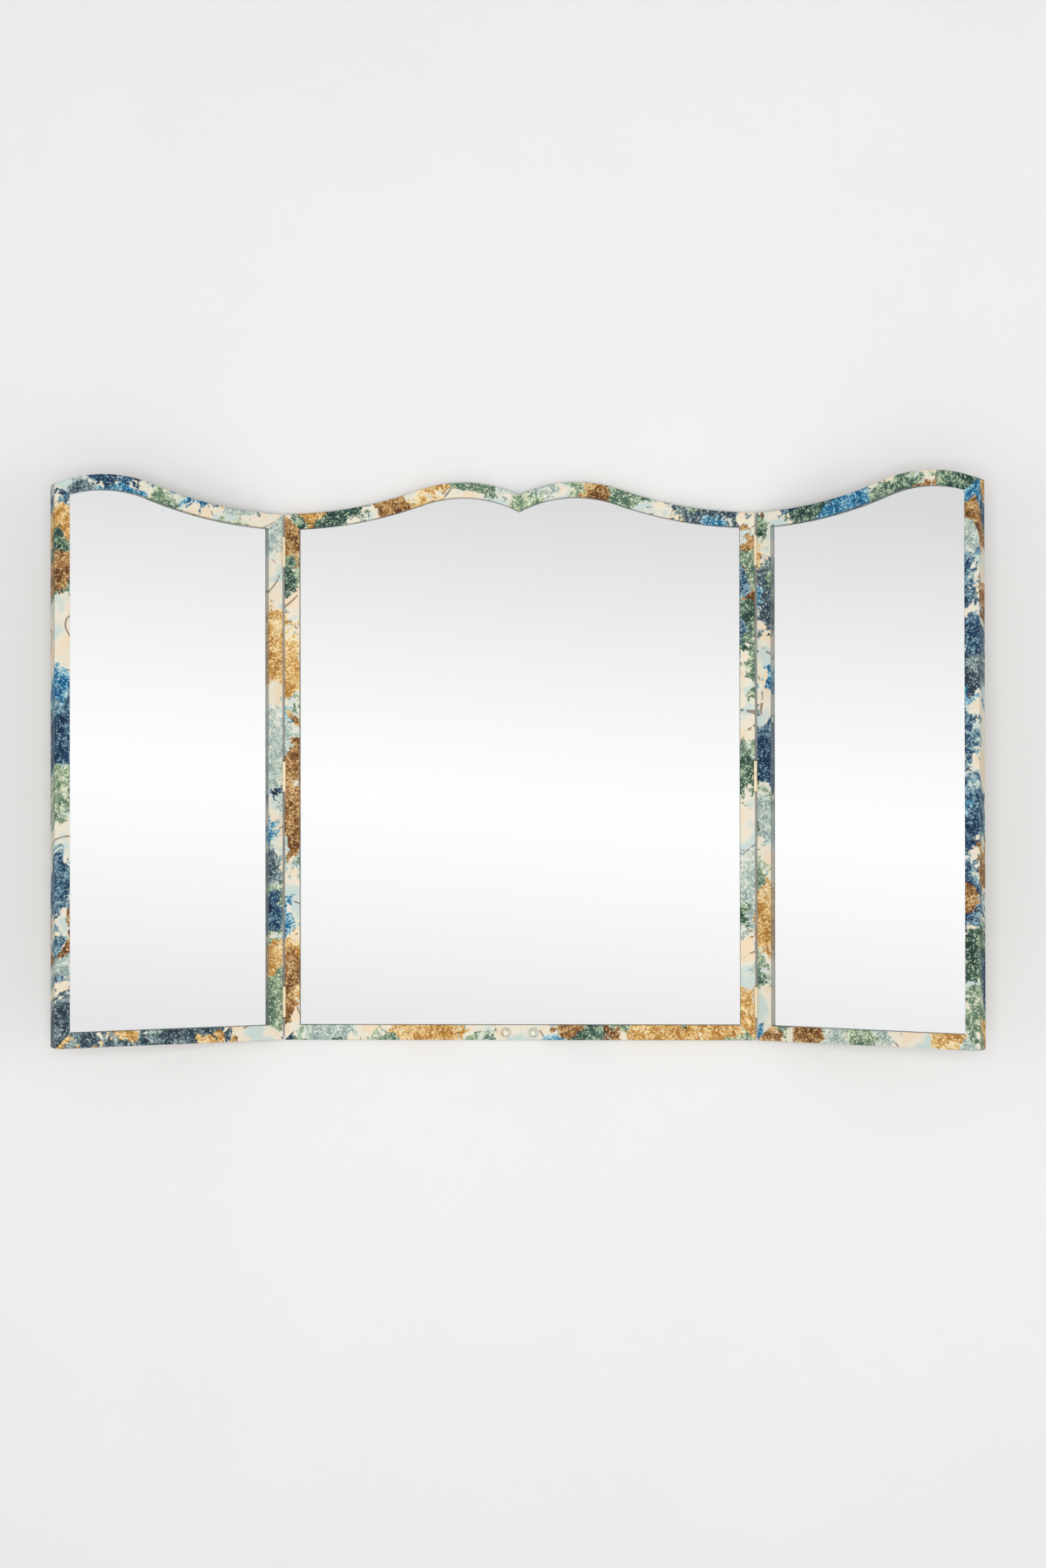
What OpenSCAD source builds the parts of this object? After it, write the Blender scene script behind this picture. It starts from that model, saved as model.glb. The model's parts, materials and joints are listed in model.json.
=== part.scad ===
// Trifold wall mirror: a centre panel with two half-width wings hinged to its sides.
// The wall is behind (+Y), the glass looks towards -Y, and Z points up.
// The origin is on the back of the centre panel, halfway up its sides.

/* [Panels] */
// Distance between the two hinge lines
hinge_span = 600; // [480:1:760]
// Height of every panel along its hinge side
side_h = 670.5; // [500:0.5:900]
// Gap between neighbouring panels when the mirror is open flat
panel_gap = 1; // [1:0.1:3]
// Gap between the free ends of the two wings when they are closed
closing_gap = 3; // [1:0.5:10]

/* [Top outline] */
// Distance from the middle of the centre panel to each crest
crest_x = 72; // [40:1:100]
// Radius of the rounded crest
crest_r = 172; // [130:1:220]
// Radius of the hollow sweep between the crest and the hinge side
sweep_r = 507; // [400:1:700]
// Radius of the outer corners of the wings
corner_r = 3; // [2:0.1:5]

/* [Frame members] */
// Width of a frame member, seen from the front
member_w = 19; // [16:0.5:30]
// Thickness of the frame from front to back
frame_t = 20; // [18:0.5:30]
// Thickness of the lip in front of the glass
lip_t = 7; // [4:0.5:9]
// Width of the lip that overlaps the glass
lip_w = 6; // [4:0.5:8]
// Radius of the rounded front edges
edge_r = 1; // [1:0.1:3]
// Thickness of the printed covering
cover_t = 0.6; // [0.3:0.1:1]
// Width of the frame's back edge beside the backing board
back_w = 6; // [4:0.5:8]

/* [Glass and backing] */
// Thickness of the mirror glass
glass_t = 4; // [3:0.5:6]
// Gap between the glass or the backing board and the rebate around it
pane_gap = 1; // [0.5:0.1:2]
// Diameter of a backing screw's shank
board_screw_d = 2.6; // [2:0.1:3]
// Diameter of a backing screw's head
board_screw_head_d = 4.6; // [4:0.1:5]
// Length of a backing screw
board_screw_l = 16; // [12:1:17]
// Distance of the outer backing screws from the ends of the panel
board_screw_in = 120; // [90:1:200]

/* [Hinges] */
// Length of a hinge
hinge_l = 38; // [30:1:50]
// Number of knuckles in a hinge
knuckles = 5; // [3:2:7]
// Diameter of the knuckles
knuckle_d = 5.2; // [4:0.1:6]
// Diameter of the hinge pin
pin_d = 2.8; // [2:0.1:3]
// Radial running clearance of the pin
pin_clear = 0.05; // [0.01:0.01:0.1]
// Gap between neighbouring knuckles
knuckle_gap = 0.2; // [0.1:0.05:0.4]
// Clearance between the knuckles and the frame's rounded edges
knuckle_edge_gap = 0.3; // [0.2:0.05:1]
// Thickness of a hinge leaf
leaf_t = 1.2; // [0.8:0.1:1.3]
// Width of a hinge leaf from the hinge line to its back edge
leaf_w = 15; // [12:0.5:18]
// Distance from the end of the panel to the end hinge
hinge_inset = 29.5; // [20:0.5:60]
// Distance between the two screws of a leaf
leaf_screw_gap = 22; // [16:1:28]
// Opening angle of the left wing from flat
left_open = 27.4; // [0:0.1:90]
// Opening angle of the right wing from flat
right_open = 29; // [0:0.1:90]
// Diameter of a hinge screw's shank
leaf_screw_d = 2.6; // [2:0.1:3]
// Diameter of a hinge screw's head
leaf_screw_head_d = 4.4; // [3.8:0.1:5]
// Length of a hinge screw
leaf_screw_l = 10; // [8:0.5:12]
// Radial clearance of every screw in its hole
screw_clear = 0.05; // [0.02:0.01:0.2]
// Clearance around a plate that is let in flush
let_in_gap = 0.1; // [0.05:0.01:0.3]

/* [Hangers] */
// Distance between the two keyhole hangers
hanger_span = 400; // [200:1:440]
// Height of the keyholes' entry holes above the middle of the sides
hanger_z = 240; // [100:1:260]
// Width of a hanger plate
hanger_w = 20; // [18:1:30]
// Height of a hanger plate
hanger_h = 48; // [44:1:60]
// Thickness of a hanger plate
hanger_t = 1.5; // [1:0.1:2]
// Diameter of the entry hole, which passes the wall screw's head
entry_d = 10; // [8:0.5:12]
// Width of the slot, which passes the wall screw's shank
slot_w = 5; // [4:0.5:6]
// Distance from the entry hole's centre to the centre of the slot's far end
slot_run = 12; // [8:1:16]
// Depth of the pocket behind the plate
pocket_t = 5; // [4:0.5:6]
// Diameter of a hanger screw's shank
hanger_screw_d = 3; // [2.5:0.1:3.5]
// Diameter of a hanger screw's head
hanger_screw_head_d = 5.4; // [4.5:0.1:5.6]
// Length of a hanger screw
hanger_screw_l = 8; // [6:0.5:8]
// Distance of the hanger screws from the ends of the plate
hanger_screw_in = 5.5; // [4.5:0.5:7]

/* [Bumpers] */
// Diameter of a bumper
bumper_d = 12.7; // [8:0.1:16]
// Gap between a bumper and the front of the wing that is closed over it
bumper_gap = 0.2; // [0.1:0.05:1]
// Height of a bumper's straight rim
bumper_rim = 1.1; // [0.5:0.1:1.5]
// Distance of each bumper from the middle
bumper_x = 17.5; // [10:0.5:40]

/* [Hidden] */
$fn = 96;
half_span = hinge_span / 2;
half_gap = panel_gap / 2;
wing_end = half_span - closing_gap / 2;
z_low = -side_h / 2;
z_side = side_h / 2;

// Across a member, u runs inwards from its outer edge and w runs forwards from its back
rebate_u = member_w - lip_w;
board_u = back_w + pane_gap;
glass_u = rebate_u + pane_gap;
lip_w0 = frame_t - lip_t;
board_t = lip_w0 - glass_t;

// Top outline: a hollow sweep, centred above the hinge line, runs into a round crest
crest_s = half_span - crest_x;
sweep_a = asin(crest_s / (crest_r + sweep_r));
sweep_zc = z_side + sweep_r;
crest_zc = sweep_zc - (crest_r + sweep_r) * cos(sweep_a);
crest_top = crest_zc + crest_r;
// The crest is swept until its inner edge is past the middle, and both sweeps by lead_a more
crest_end_a = asin(crest_x / (crest_r - member_w));
lead_a = 1;
// Where the sweep runs into the crest, on the outline that lies u inside the panel's
function bend_s(u) = (sweep_r + u) * sin(sweep_a);
function bend_z(u) = sweep_zc - (sweep_r + u) * cos(sweep_a);

// How far a cutting shape runs past what it cuts, a mitre's cut past its corners, and a rail's clip past it
spill = 1;
mitre_run = 4;
clip_z = 40;
// The coverings stop this far short of each mitre, which leaves a fine seam
seam = 0.1;
// The wood's edges, which the covering hides, are cut in three flats each: a quarter of this many sides
edge_sides = 12;

// The hinge line is so far in front of the frame that the knuckles clear the rounded edges
knuckle_r = knuckle_d / 2;
axis_front = sqrt(pow(knuckle_r + knuckle_edge_gap + edge_r, 2) - pow(half_gap + edge_r, 2)) - edge_r;
axis_y = -frame_t - axis_front;
leaf_x = half_gap + leaf_t;
knuckle_l = (hinge_l - (knuckles - 1) * knuckle_gap) / knuckles;
// Gap between a leaf's plate and the other leaf's knuckles
knuckle_clear = 0.25;
pin_head_t = 0.5;
pin_head_step = 0.5;
pin_head_r = knuckle_r - pin_head_step;
leaf_screw_y = axis_y + (knuckle_r + leaf_w) / 2;
hinge_end_z = side_h / 2 - hinge_inset - hinge_l / 2;
LEVELS = ["low", "mid", "high"];
function level_z(level) = level == "low" ? -hinge_end_z : level == "mid" ? 0 : hinge_end_z;

// Backing screws stand halfway across the shoulder that the board rests on
board_screw_u = (board_u + rebate_u) / 2;
board_screw_z = side_h / 2 - board_screw_in;

// The pointed end of a wood screw and the cross recess in its head
screw_tip_l = 2.5;
recess_w = 0.6;
recess_t = 0.7;
recess_share = 2 / 3;

// A hanger plate is centred on its keyhole, and its pocket is a little wider than the entry hole
plate_z = hanger_z + slot_run / 2;
pocket_spare = 1;
pocket_w = entry_d + pocket_spare;
// How much deeper a hanger screw's hole is than its screw
screw_end_gap = 0.5;

// Bumpers: a straight rim under a dome that is part of a sphere
bumper_r = bumper_d / 2;
bumper_h = 2 * axis_front - bumper_gap;
bumper_cap = bumper_h - bumper_rim;
bumper_dome_r = (bumper_r * bumper_r + bumper_cap * bumper_cap) / (2 * bumper_cap);

core_color = [0.80, 0.66, 0.45];
cover_color = [0.55, 0.60, 0.50];
glass_color = [0.82, 0.85, 0.87];
board_color = [0.58, 0.45, 0.31];
brass_color = [0.82, 0.68, 0.36];
steel_color = [0.72, 0.73, 0.75];
clear_color = [0.90, 0.92, 0.92, 0.6];

PANELS = ["centre", "left_wing", "right_wing"];
WINGS = ["left_wing", "right_wing"];
SIDES = ["left", "right"];
CENTRE_MEMBERS = ["top", "bottom", "left", "right"];
WING_MEMBERS = ["top", "bottom", "hinge", "end"];

// Corners of a panel, as [outer, inner] points across its mitre, with s counted from the hinge line
function sweep_z(s, u) = sweep_zc - sqrt(pow(sweep_r + u, 2) - s * s);
function crest_z(s, u) = crest_zc + sqrt(pow(crest_r - u, 2) - pow(s - crest_s, 2));
function corner(s, u_sign, z0, z1) = [[s, z0], [s + u_sign * member_w, z1]];
hinge_top = corner(half_gap, 1, sweep_z(half_gap, 0), sweep_z(half_gap + member_w, member_w));
hinge_low = corner(half_gap, 1, z_low, z_low + member_w);
end_top = corner(wing_end, -1, crest_z(wing_end, 0), crest_z(wing_end - member_w, member_w));
end_low = corner(wing_end, -1, z_low, z_low + member_w);

// The mitre's line run past both corners and moved by shift
function mitre(c, shift) =
    let (d = (c[1] - c[0]) / norm(c[1] - c[0]))
    [c[0] - mitre_run * d + shift, c[1] + mitre_run * d + shift];
function to_left(c) = [for (p = c) [p[0] - half_span, p[1]]];
function to_right(c) = [for (p = c) [half_span - p[0], p[1]]];

// Places what is drawn in s, counted from a hinge line, on the halves of the centre panel
module left_half() {
    translate([-half_span, 0, 0]) children();
}

module right_half() {
    mirror([1, 0, 0]) left_half() children();
}

// Places what is drawn in s, counted from a hinge line, on a wing at its opening angle
module on_wing(p) {
    angle = p == "left_wing" ? left_open : right_open;
    side = p == "left_wing" ? [1, 0, 0] : [0, 0, 0];
    mirror(side)
        translate([half_span, axis_y, 0])
        rotate([0, 0, -angle])
        translate([0, -axis_y, 0])
        children();
}

// Turns a flat shape in x and z into a slab from w0 to w1
module slab(w0, w1) {
    rotate([90, 0, 0]) translate([0, 0, w0]) linear_extrude(w1 - w0) children();
}

// What a rounded edge takes off a corner at (u, w), whose inside lies towards (du, dw)
module edge_cut(u, w, r, du, dw, sides = $fn) {
    translate([u + du * r, w + dw * r])
        difference() {
            translate([du > 0 ? -r - spill : 0, dw > 0 ? -r - spill : 0]) square(r + spill);
            circle(r, $fn = sides);
        }
}

// Cross-section of a member's wood, in u and w: a lip, a rebate for the glass and one for the board
module core_profile() {
    r = edge_r - cover_t;
    front = frame_t - cover_t;
    difference() {
        union() {
            translate([cover_t, lip_w0 + cover_t]) square([member_w - 2 * cover_t, lip_t - 2 * cover_t]);
            translate([cover_t, board_t]) square([rebate_u - cover_t, front - board_t]);
            translate([cover_t, cover_t]) square([back_w - cover_t, front - cover_t]);
        }
        edge_cut(cover_t, front, r, 1, -1, edge_sides);
        edge_cut(member_w - cover_t, front, r, -1, -1, edge_sides);
        edge_cut(cover_t, cover_t, r, 1, 1, edge_sides);
    }
}

// Cross-section of the covering: it wraps the front and both sides and turns in behind
module cover_profile() {
    difference() {
        union() {
            translate([0, lip_w0]) square([member_w, lip_t]);
            square([back_w, frame_t]);
        }
        edge_cut(0, frame_t, edge_r, 1, -1);
        edge_cut(member_w, frame_t, edge_r, -1, -1);
        edge_cut(0, 0, edge_r, 1, 1);
        core_profile();
    }
}

module profile(cover) {
    if (cover) cover_profile();
    else core_profile();
}

// A member that runs along X at the origin and bends away from there through an angle
// A hollow sweep bends upwards and lies at -X, and a crest bends downwards and lies at +X
// Its outer edge has radius r
module arc_bar(r, hollow, angle, cover) {
    mirror([1, 0, 0])
        translate([0, 0, hollow ? r : -r])
        rotate([90, 0, 0])
        rotate([0, 0, hollow ? 270 : 90])
        rotate_extrude(angle = angle)
        translate([r, 0])
        mirror(hollow ? [0, 0] : [1, 0])
        profile(cover);
}

// Half of the top rail, in s, before its ends are cut: the hollow sweep and the crest
module half_top_bar(cover) {
    translate([bend_s(0), 0, bend_z(0)])
        rotate([0, -sweep_a, 0])
        union() {
            arc_bar(sweep_r, true, sweep_a + lead_a, cover);
            arc_bar(crest_r, false, sweep_a + crest_end_a + lead_a, cover);
        }
}

module hinge_side_bar(cover) {
    translate([half_gap, 0, z_low - spill])
        mirror([0, 1, 0])
        linear_extrude(side_h + 2 * spill)
        profile(cover);
}

module end_side_bar(cover) {
    translate([wing_end, 0, z_low - spill])
        rotate([0, 0, 180])
        linear_extrude(crest_top - z_low + spill)
        profile(cover);
}

module bottom_bar(x0, x1, cover) {
    translate([x0, 0, z_low])
        rotate(180, [1, 0, 1])
        linear_extrude(x1 - x0)
        profile(cover);
}

// The space between two mitres, for an upright and for a rail
module side_clip(low, top) {
    slab(-spill, frame_t + spill) polygon([low[0], low[1], top[1], top[0]]);
}

module top_clip(left, right) {
    up = crest_top + clip_z;
    down = z_side - clip_z;
    slab(-spill, frame_t + spill) polygon([
        left[0], left[1], [left[1][0], down], [right[1][0], down],
        right[1], right[0], [right[0][0], up], [left[0][0], up]
    ]);
}

module bottom_clip(left, right) {
    slab(-spill, frame_t + spill) polygon([left[0], right[0], right[1], left[1]]);
}

// What the rounding takes off the free corners of a wing
module end_corner_cuts(cover) {
    r = corner_r - (cover ? 0 : cover_t);
    centre_s = wing_end - corner_r;
    low = [centre_s, z_low + corner_r];
    top = [centre_s, crest_z(centre_s, corner_r)];
    lean = (top - [crest_s, crest_zc]) / norm(top - [crest_s, crest_zc]);
    out = corner_r + spill;
    slab(-spill, frame_t + spill) difference() {
        polygon([low, low + [0, -out], low + [out, -out], low + [out, 0]]);
        translate(low) circle(r);
    }
    slab(-spill, frame_t + spill) difference() {
        polygon([top, top + [out, 0], top + [out, out], top + out * lean]);
        translate(top) circle(r);
    }
}

// Hinges are let into an upright, and their screws go into its wood
module hinge_cuts() {
    for (level = LEVELS) translate([0, 0, level_z(level)]) {
        translate([half_gap - spill, axis_y, -hinge_l / 2 - let_in_gap])
            cube([leaf_t + spill, leaf_w + let_in_gap, hinge_l + 2 * let_in_gap]);
        for (dz = [-1, 1])
            translate([leaf_x - spill, leaf_screw_y, dz * leaf_screw_gap / 2])
                rotate([0, 90, 0])
                cylinder(r = leaf_screw_d / 2 + screw_clear, h = leaf_screw_l - leaf_t + 2 * spill);
    }
}

// Places of the backing screws, in s and z
function side_screws(s) = [for (k = [-1, 0, 1]) [s, k * board_screw_z]];
rail_screws = [[crest_s, z_low + board_screw_u], [crest_s, crest_top - board_screw_u]];
hinge_side_screws = side_screws(half_gap + board_screw_u);
end_side_screws = side_screws(wing_end - board_screw_u);

module board_screw_holes(places) {
    for (p = places)
        translate([p[0], spill, p[1]])
            rotate([90, 0, 0])
            cylinder(r = board_screw_d / 2 + screw_clear, h = board_screw_l + 2 * spill);
}

// One upright on the hinge side, in s
module hinge_side_member(cover) {
    gap = cover ? seam : 0;
    difference() {
        intersection() {
            hinge_side_bar(cover);
            side_clip(mitre(hinge_low, [0, gap]), mitre(hinge_top, [0, -gap]));
        }
        hinge_cuts();
        if (!cover) board_screw_holes(hinge_side_screws);
    }
}

// The upright at a wing's free end, in s
module end_side_member(cover) {
    gap = cover ? seam : 0;
    difference() {
        intersection() {
            end_side_bar(cover);
            side_clip(mitre(end_low, [0, gap]), mitre(end_top, [0, -gap]));
        }
        end_corner_cuts(cover);
        if (!cover) board_screw_holes(end_side_screws);
    }
}

module wing_top_member(cover) {
    gap = cover ? seam : 0;
    difference() {
        intersection() {
            half_top_bar(cover);
            top_clip(mitre(hinge_top, [gap, 0]), mitre(end_top, [-gap, 0]));
        }
        end_corner_cuts(cover);
        if (!cover) board_screw_holes([rail_screws[1]]);
    }
}

module wing_bottom_member(cover) {
    gap = cover ? seam : 0;
    difference() {
        intersection() {
            bottom_bar(0, wing_end, cover);
            bottom_clip(mitre(hinge_low, [gap, 0]), mitre(end_low, [-gap, 0]));
        }
        end_corner_cuts(cover);
        if (!cover) board_screw_holes([rail_screws[0]]);
    }
}

// Half of the centre's top rail, in s, cut off at the middle of the panel
module centre_top_half(cover) {
    middle = [[half_span, crest_top], [half_span, z_side]];
    difference() {
        intersection() {
            half_top_bar(cover);
            top_clip(mitre(hinge_top, [cover ? seam : 0, 0]), middle);
        }
        if (!cover) board_screw_holes([rail_screws[1]]);
    }
}

// The two halves meet at the notch
module centre_top_member(cover) {
    union() {
        left_half() centre_top_half(cover);
        right_half() centre_top_half(cover);
    }
}

module centre_bottom_member(cover) {
    gap = cover ? seam : 0;
    difference() {
        intersection() {
            bottom_bar(-half_span, half_span, cover);
            bottom_clip(mitre(to_left(hinge_low), [gap, 0]), mitre(to_right(hinge_low), [-gap, 0]));
        }
        if (!cover) {
            left_half() board_screw_holes([rail_screws[0]]);
            right_half() board_screw_holes([rail_screws[0]]);
        }
    }
}

module centre_member(m, cover) {
    if (m == "top") centre_top_member(cover);
    if (m == "bottom") centre_bottom_member(cover);
    if (m == "left") left_half() hinge_side_member(cover);
    if (m == "right") right_half() hinge_side_member(cover);
}

module wing_member(p, m, cover) {
    on_wing(p) {
        if (m == "top") wing_top_member(cover);
        if (m == "bottom") wing_bottom_member(cover);
        if (m == "hinge") hinge_side_member(cover);
        if (m == "end") end_side_member(cover);
    }
}

// Outline of a pane that lies u inside the panel's outline, from s0 to s1
module pane_outline(u, s0, s1) {
    base = z_low + u;
    difference() {
        translate([s0, base]) square([bend_s(u) - s0, bend_z(u) + spill - base]);
        translate([0, sweep_zc]) circle(sweep_r + u);
    }
    translate([bend_s(u), base]) square([s1 - bend_s(u), crest_zc - base]);
    intersection() {
        translate([bend_s(u), crest_zc]) square([s1 - bend_s(u), crest_r]);
        translate([crest_s, crest_zc]) circle(crest_r - u);
    }
}

module centre_pane(u, w0, w1) {
    slab(w0, w1) union() {
        translate([-half_span, 0]) pane_outline(u, half_gap + u, half_span);
        mirror([1, 0]) translate([-half_span, 0]) pane_outline(u, half_gap + u, half_span);
    }
}

module wing_pane(u, w0, w1) {
    slab(w0, w1) pane_outline(u, half_gap + u, wing_end - u);
}

module mirror_glass(p) {
    color(glass_color) {
        if (p == "centre") centre_pane(glass_u, board_t, lip_w0);
        else on_wing(p) wing_pane(glass_u, board_t, lip_w0);
    }
}

// A countersunk wood screw along +X, with its head's top at the origin and a cross recess in it
module wood_screw(d, head_d, l) {
    head_l = (head_d - d) / 2;
    difference() {
        rotate([0, 90, 0])
            rotate_extrude()
            polygon([[0, 0], [head_d / 2, 0], [d / 2, head_l], [d / 2, l - screw_tip_l], [0, l]]);
        for (turn = [0, 90])
            rotate([turn, 0, 0])
                translate([-spill, -recess_w / 2, -head_d * recess_share / 2])
                cube([spill + recess_t, recess_w, head_d * recess_share]);
    }
}

// The hole that the same screw needs in the plate or board under its head
module screw_seat(d, head_d, l) {
    head_l = (head_d - d) / 2;
    r = d / 2 + screw_clear;
    head_r = head_d / 2 + screw_clear;
    rotate([0, 90, 0])
        rotate_extrude()
        polygon([[0, -spill], [head_r, -spill], [head_r, 0], [r, head_l], [r, l], [0, l]]);
}

module keyhole(d, w) {
    circle(d = d);
    translate([-w / 2, 0]) square([w, slot_run]);
    translate([0, slot_run]) circle(d = w);
}

module rounded_slot(w, h) {
    translate([-w / 2, w / 2 - h / 2]) square([w, h - w]);
    translate([0, w / 2 - h / 2]) circle(d = w);
    translate([0, h / 2 - w / 2]) circle(d = w);
}

// Places its children at the two screws of one hanger plate, pointing in from the back
module at_hanger_screws() {
    for (dz = [-1, 1])
        translate([0, 0, plate_z + dz * (hanger_h / 2 - hanger_screw_in)])
            rotate([0, 0, -90])
            children();
}

module hanger_cuts() {
    translate([0, 0, plate_z])
        slab(-spill, hanger_t)
        rounded_slot(hanger_w + 2 * let_in_gap, hanger_h + 2 * let_in_gap);
    translate([0, 0, hanger_z + slot_run / 2])
        slab(-spill, hanger_t + pocket_t)
        rounded_slot(pocket_w, slot_run + pocket_w);
    at_hanger_screws() screw_seat(hanger_screw_d, hanger_screw_head_d, hanger_screw_l + screw_end_gap);
}

module board_screw_seats(places) {
    for (p = places)
        translate([p[0], 0, p[1]])
            rotate([0, 0, -90])
            screw_seat(board_screw_d, board_screw_head_d, board_t + spill);
}

module backing_board(p) {
    color(board_color) {
        if (p == "centre")
            difference() {
                centre_pane(board_u, 0, board_t);
                left_half() board_screw_seats(concat(hinge_side_screws, rail_screws));
                right_half() board_screw_seats(concat(hinge_side_screws, rail_screws));
                for (side = [-1, 1]) translate([side * hanger_span / 2, 0, 0]) hanger_cuts();
            }
        else
            on_wing(p) difference() {
                wing_pane(board_u, 0, board_t);
                board_screw_seats(concat(hinge_side_screws, end_side_screws, rail_screws));
            }
    }
}

module board_screws_at(places) {
    for (p = places)
        translate([p[0], 0, p[1]])
            rotate([0, 0, -90])
            wood_screw(board_screw_d, board_screw_head_d, board_screw_l);
}

module backing_screws(p) {
    color(steel_color) {
        if (p == "centre") {
            left_half() board_screws_at(concat(hinge_side_screws, rail_screws));
            right_half() board_screws_at(concat(hinge_side_screws, rail_screws));
        }
        else
            on_wing(p) board_screws_at(concat(hinge_side_screws, end_side_screws, rail_screws));
    }
}

// Height of the lower end of knuckle k above the middle of the hinge
function knuckle_z(k) = -hinge_l / 2 + k * (knuckle_l + knuckle_gap);

// A leaf on the +s side of the hinge line, with every other knuckle from the first one
module leaf(first) {
    color(brass_color) difference() {
        union() {
            translate([half_gap, knuckle_r + knuckle_clear, -hinge_l / 2])
                cube([leaf_t, leaf_w - knuckle_r - knuckle_clear, hinge_l]);
            for (k = [first:2:knuckles - 1]) translate([0, 0, knuckle_z(k)]) {
                cylinder(r = knuckle_r, h = knuckle_l);
                translate([half_gap, 0, 0]) cube([leaf_t, leaf_w - spill, knuckle_l]);
            }
        }
        translate([0, 0, -hinge_l / 2 - spill])
            cylinder(r = pin_d / 2 + pin_clear, h = hinge_l + 2 * spill);
        for (dz = [-1, 1])
            translate([half_gap, leaf_screw_y - axis_y, dz * leaf_screw_gap / 2])
                screw_seat(leaf_screw_d, leaf_screw_head_d, leaf_t + spill);
    }
}

module fixed_leaf(side, level) {
    mirror(side == "left" ? [0, 0, 0] : [1, 0, 0])
        translate([-half_span, axis_y, level_z(level)])
        leaf(0);
}

module moving_leaf(side, level) {
    on_wing(str(side, "_wing")) translate([0, axis_y, level_z(level)]) leaf(1);
}

module hinge_pin(side, level) {
    end = hinge_l / 2;
    color(brass_color)
        translate([side == "left" ? -half_span : half_span, axis_y, level_z(level)])
        rotate_extrude()
        polygon([
            [0, -end - pin_head_t], [pin_head_r - pin_head_t, -end - pin_head_t], [pin_head_r, -end],
            [pin_d / 2, -end], [pin_d / 2, end],
            [pin_head_r, end], [pin_head_r - pin_head_t, end + pin_head_t], [0, end + pin_head_t]
        ]);
}

module leaf_screws() {
    for (level = LEVELS, dz = [-1, 1])
        translate([half_gap, leaf_screw_y, level_z(level) + dz * leaf_screw_gap / 2])
            wood_screw(leaf_screw_d, leaf_screw_head_d, leaf_screw_l);
}

module fixed_leaf_screws(side) {
    color(brass_color) {
        if (side == "left") left_half() leaf_screws();
        else right_half() leaf_screws();
    }
}

module moving_leaf_screws(side) {
    color(brass_color) on_wing(str(side, "_wing")) leaf_screws();
}

module hanger_plate(side) {
    color(steel_color) translate([(side == "left" ? -1 : 1) * hanger_span / 2, 0, 0]) difference() {
        translate([0, 0, plate_z]) slab(0, hanger_t) rounded_slot(hanger_w, hanger_h);
        translate([0, 0, hanger_z]) slab(-spill, hanger_t + spill) keyhole(entry_d, slot_w);
        at_hanger_screws() screw_seat(hanger_screw_d, hanger_screw_head_d, hanger_t + spill);
    }
}

module hanger_plate_screws() {
    color(steel_color)
        for (side = [-1, 1])
            translate([side * hanger_span / 2, 0, 0])
            at_hanger_screws()
            wood_screw(hanger_screw_d, hanger_screw_head_d, hanger_screw_l);
}

// A clear domed bumper that keeps a closed wing off the centre's bottom rail
module bumper(side) {
    color(clear_color)
        translate([(side == "left" ? -1 : 1) * bumper_x, -frame_t, z_low + member_w / 2])
        rotate([90, 0, 0])
        rotate_extrude()
        intersection() {
            square([bumper_r, bumper_h]);
            translate([0, bumper_h - bumper_dome_r]) circle(bumper_dome_r);
        }
}

module core(p, m) {
    color(core_color) {
        if (p == "centre") centre_member(m, false);
        else wing_member(p, m, false);
    }
}

module cover(p, m) {
    color(cover_color) {
        if (p == "centre") centre_member(m, true);
        else wing_member(p, m, true);
    }
}

for (m = CENTRE_MEMBERS) {
    core("centre", m);
    cover("centre", m);
}
for (p = WINGS, m = WING_MEMBERS) {
    core(p, m);
    cover(p, m);
}
for (p = PANELS) {
    mirror_glass(p);
    backing_board(p);
    backing_screws(p);
}
for (s = SIDES, l = LEVELS) {
    fixed_leaf(s, l);
    moving_leaf(s, l);
    hinge_pin(s, l);
}
for (s = SIDES) {
    fixed_leaf_screws(s);
    moving_leaf_screws(s);
    hanger_plate(s);
    bumper(s);
}
hanger_plate_screws();
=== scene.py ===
import json
import math
import bpy
from mathutils import Matrix, Vector


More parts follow.
